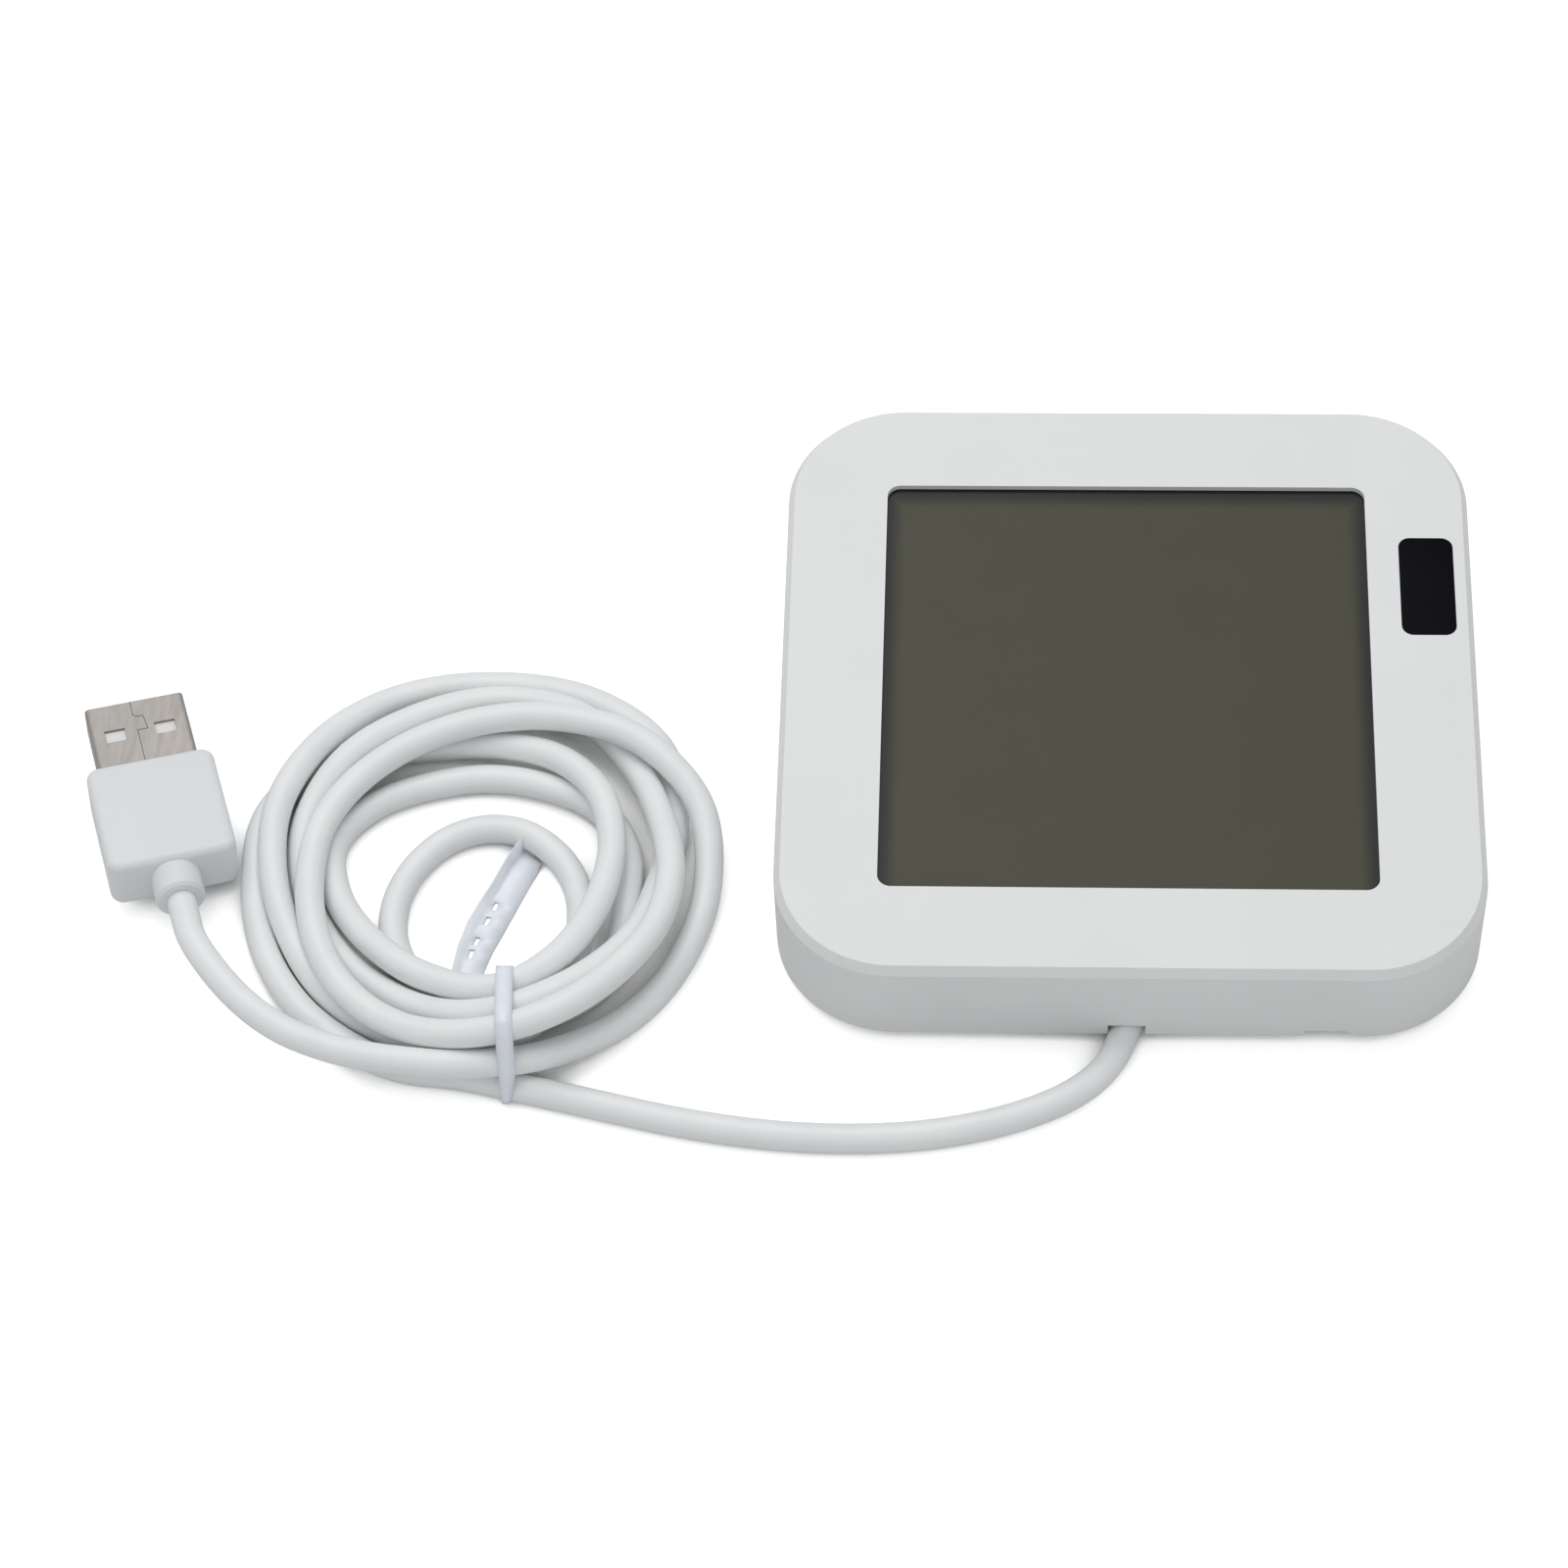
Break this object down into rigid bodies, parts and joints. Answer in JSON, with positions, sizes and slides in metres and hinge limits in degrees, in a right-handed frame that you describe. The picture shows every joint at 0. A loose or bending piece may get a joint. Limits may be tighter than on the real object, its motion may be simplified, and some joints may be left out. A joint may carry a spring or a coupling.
{
  "type": "smart hygrometer",
  "caption": "Square tabletop hygrometer with a dark display, an infrared window, a fold-out stand, a recessed pairing button and a coiled supply cord with its plug.",
  "frame": {"origin": "below the middle of the housing, on the plane of the four rubber feet", "axes": "+X to the right of the display, +Y to its top, +Z out of the display's face"},
  "size_m": [0.1669, 0.0979, 0.015],
  "materials": {
    "housing_plastic": "fine satin moulding",
    "screen_film": "smooth film",
    "screen_glass": "polished",
    "guide_acrylic": "clear",
    "frame_plastic": "moulded",
    "lamp_resin": "moulded",
    "contact_rubber": "moulded",
    "board_laminate": "solder mask",
    "shield_tin": "tinned",
    "chip_resin": "moulded",
    "capacitor_can": "satin",
    "emitter_resin": "clear resin",
    "window_acrylic": "smooth",
    "gasket_foam": "closed cell foam",
    "screw_steel": "plated",
    "foot_rubber": "moulded",
    "connector_nylon": "moulded",
    "wire_jacket": "extruded",
    "cord_jacket": "satin extruded jacket",
    "plug_plastic": "satin moulding",
    "plug_steel": "nickel plated",
    "contact_gold": "gold plated",
    "tie_film": "translucent strip"
  },
  "bodies": {
    "housing": {"front_housing": "housing_plastic", "rear_cover": "housing_plastic", "front_polarizer": "screen_film", "rear_polarizer": "screen_film", "front_glass": "screen_glass", "rear_glass": "screen_glass", "light_guide": "guide_acrylic", "display_frame": "frame_plastic", "cord_clamp": "frame_plastic", "backlight_lamps": "lamp_resin", "contact_strip": "contact_rubber", "main_board": "board_laminate", "radio_module": "board_laminate", "radio_shield": "shield_tin", "display_driver": "chip_resin", "voltage_regulator": "chip_resin", "infrared_receiver": "chip_resin", "pairing_switch": "chip_resin", "humidity_sensor": "chip_resin", "supply_capacitors": "capacitor_can", "infrared_emitters": "emitter_resin", "infrared_window": "window_acrylic", "sensor_gasket": "gasket_foam", "housing_screws": "screw_steel", "board_screws": "screw_steel", "clamp_screws": "screw_steel", "stand_hinge_pin": "screw_steel", "rubber_feet": "foot_rubber", "supply_connector": "connector_nylon", "plug_tongue": "connector_nylon", "supply_wires": "wire_jacket", "cord_inner_end": "cord_jacket", "cord_lead": "cord_jacket", "cord_coil": "cord_jacket", "cord_tail": "cord_jacket", "plug_moulding": "plug_plastic", "plug_strain_relief": "plug_plastic", "plug_shell": "plug_steel", "plug_contacts": "contact_gold", "cord_tie": "tie_film"},
    "stand": {"kickstand": "housing_plastic"},
    "button": {"pairing_button": "housing_plastic", "switch_plunger": "chip_resin"}
  },
  "joints": [
    {"name": "stand_fold", "type": "hinge", "parent": "housing", "child": "stand", "pos_m": [0, 0.0115, 0.00205], "axis": [1, 0, 0], "range_deg": [0, 60]},
    {"name": "button_press", "type": "slide", "parent": "housing", "child": "button", "axis": [0, 0, 1], "range_m": [0, 0.0004], "stiffness_N_per_m": 4000, "springref_m": -0.00005}
  ]
}
